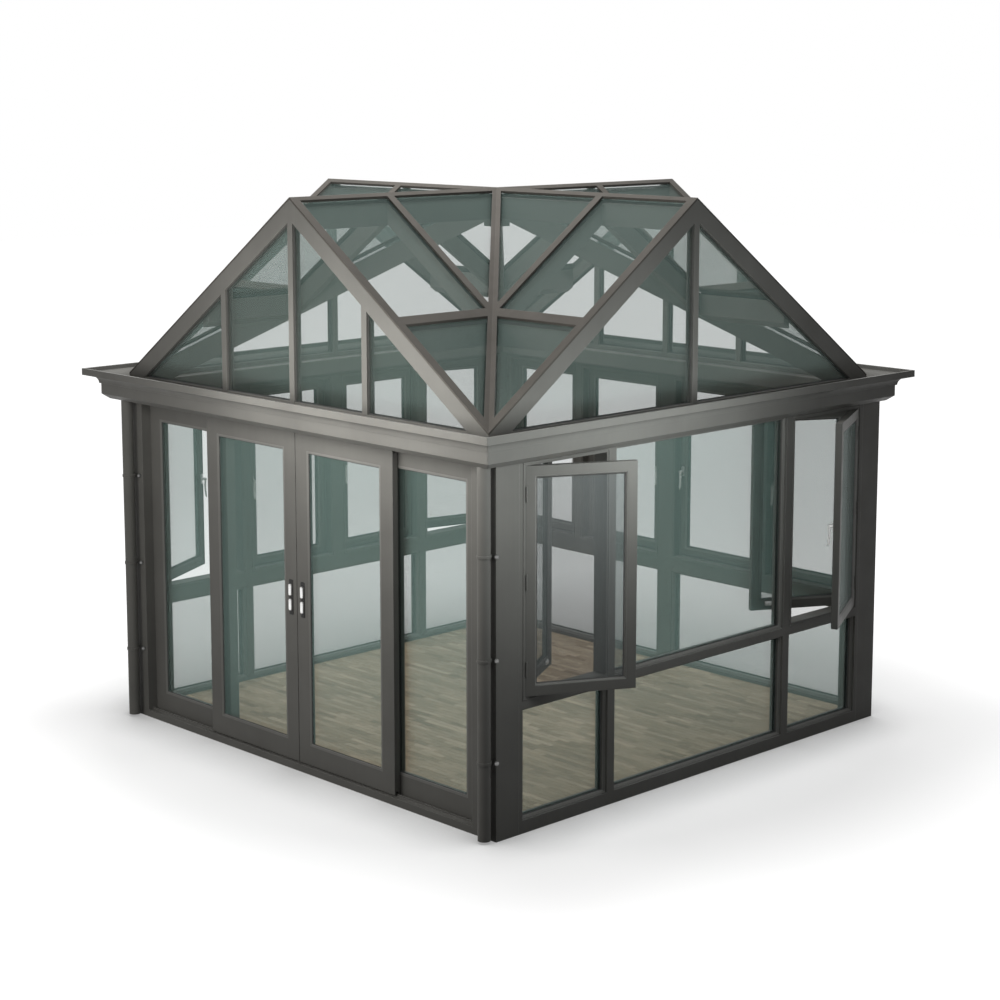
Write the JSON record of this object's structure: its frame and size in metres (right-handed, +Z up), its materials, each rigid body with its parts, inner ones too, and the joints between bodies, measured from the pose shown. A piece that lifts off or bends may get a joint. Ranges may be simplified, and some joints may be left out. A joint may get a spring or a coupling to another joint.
{
  "type": "glass conservatory",
  "caption": "Square glazed garden room with a cross-gabled glass roof, a sliding glass door wall, framed casement windows and a moulded eaves cornice.",
  "frame": {"origin": "on the ground under the crossing of the roof ridges", "axes": "+Z up, +X along the door wall to the right seen from outside, +Y from the door wall to the back wall"},
  "size_m": [4.225, 3.92, 3.578],
  "materials": {
    "frame_metal": "satin dark bronze grey",
    "cap_metal": "satin dark bronze grey",
    "glass": "pale green grey glazing",
    "mesh": "fine insect mesh",
    "bright_metal": "brushed",
    "floor_wood": "matt wood strip"
  },
  "bodies": {
    "building": {"floor_deck": "floor_wood", "corner_posts": "frame_metal", "front_door_frame": "frame_metal", "fixed_door_frames": "frame_metal", "fixed_door_glass": "glass", "right_wall_frame": "frame_metal", "right_wall_glass": "glass", "screen_sash": "frame_metal", "screen_mesh": "mesh", "right_casement": "frame_metal", "right_casement_glass": "glass", "inner_casement": "frame_metal", "inner_casement_glass": "glass", "back_wall_frame": "frame_metal", "back_wall_glass": "glass", "back_sashes": "frame_metal", "back_sash_glass": "glass", "left_wall_frame": "frame_metal", "left_wall_glass": "glass", "left_sashes": "frame_metal", "left_sash_glass": "glass", "window_handles": "bright_metal", "eaves_beams_front_back": "frame_metal", "eaves_beams_sides": "frame_metal", "cornice_front_back": "frame_metal", "cornice_sides": "frame_metal", "gable_front": "frame_metal", "gable_back": "frame_metal", "gable_left": "frame_metal", "gable_right": "frame_metal", "gable_glass": "glass", "ridge_beams": "frame_metal", "valley_beams": "frame_metal", "purlins": "frame_metal", "jack_rafters": "frame_metal", "roof_glass": "glass", "glazing_caps": "cap_metal", "downpipes": "frame_metal", "pipe_brackets": "bright_metal"},
    "door_left": {"sliding_door_left": "frame_metal", "sliding_door_left_glass": "glass", "sliding_door_left_fittings": "bright_metal"},
    "door_right": {"sliding_door_right": "frame_metal", "sliding_door_right_glass": "glass", "sliding_door_right_fittings": "bright_metal"}
  },
  "joints": [
    {"name": "door_left_slide", "type": "slide", "parent": "building", "child": "door_left", "axis": [-1, 0, 0], "range_m": [0, 0.66]},
    {"name": "door_right_slide", "type": "slide", "parent": "building", "child": "door_right", "axis": [1, 0, 0], "range_m": [0, 0.66]}
  ]
}
